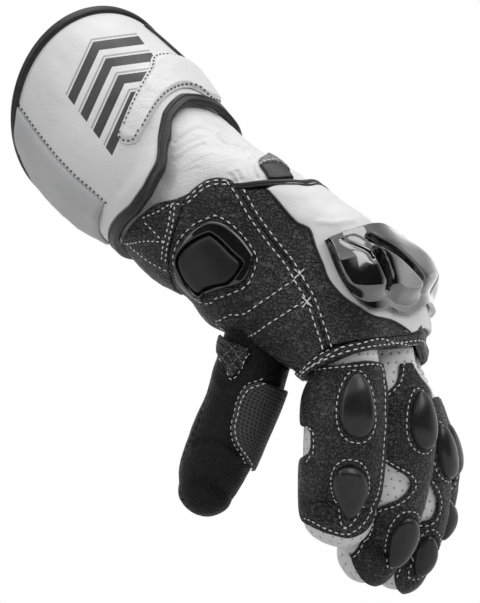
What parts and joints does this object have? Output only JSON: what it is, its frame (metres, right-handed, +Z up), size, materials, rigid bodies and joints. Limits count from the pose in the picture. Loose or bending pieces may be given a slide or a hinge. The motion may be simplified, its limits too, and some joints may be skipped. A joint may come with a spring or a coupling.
{
  "type": "motorcycle glove",
  "caption": "Left leather racing glove with a long gauntlet cuff, knuckle armour, finger pads and a palm slider, held in its worn shape.",
  "frame": {"origin": "middle of the wrist, inside the glove, where a forearm passes through it", "axes": "+Z up, towards the cuff's mouth and away from the fingertips; +X towards the back of the hand; +Y from the thumb side towards the little finger's side"},
  "size_m": [0.204, 0.1269, 0.2647],
  "materials": {
    "white_leather": "satin with fine creases",
    "black_leather": "pebbled, satin",
    "binding": "smooth, satin",
    "stretch_cloth": "matt",
    "matte_plate": "matt",
    "gloss_armour": "gloss",
    "pad_armour": "half gloss"
  },
  "bodies": {
    "root": {"cuff_shell": "white_leather", "cuff_rim_binding": "binding", "cuff_flap_binding": "binding", "cuff_stretch_panel": "stretch_cloth", "cuff_channel": "white_leather", "wrist_thumb_side": "white_leather", "wrist_little_side": "white_leather", "hand_back_near": "black_leather", "hand_back_far": "black_leather", "hand_palm_far": "black_leather", "hand_palm_near": "black_leather", "wrist_strap": "binding", "knuckle_hem": "black_leather", "thenar_panel": "black_leather", "side_panel": "black_leather", "back_panel": "white_leather", "strap_end_tab": "black_leather", "wrist_tab": "binding", "slider_plate": "matte_plate", "slider_ring": "gloss_armour", "knuckle_armour": "gloss_armour", "index_upper_half": "white_leather", "index_lower_half": "white_leather", "index_back": "black_leather", "index_grip": "black_leather", "index_knuckle_pad": "pad_armour", "index_tip_pad": "pad_armour", "middle_upper_half": "white_leather", "middle_lower_half": "white_leather", "middle_back": "black_leather", "middle_grip": "black_leather", "middle_knuckle_pad": "pad_armour", "middle_tip_pad": "pad_armour", "ring_upper_half": "white_leather", "ring_lower_half": "white_leather", "ring_back": "black_leather", "ring_grip": "black_leather", "ring_knuckle_pad": "pad_armour", "ring_tip_pad": "pad_armour", "little_upper_half": "white_leather", "little_lower_half": "white_leather", "little_back": "black_leather", "little_grip": "black_leather", "little_knuckle_pad": "pad_armour", "little_tip_pad": "pad_armour", "thumb_upper_half": "black_leather", "thumb_lower_half": "black_leather", "thumb_grip": "black_leather", "thumb_gusset": "black_leather"}
  },
  "joints": []
}
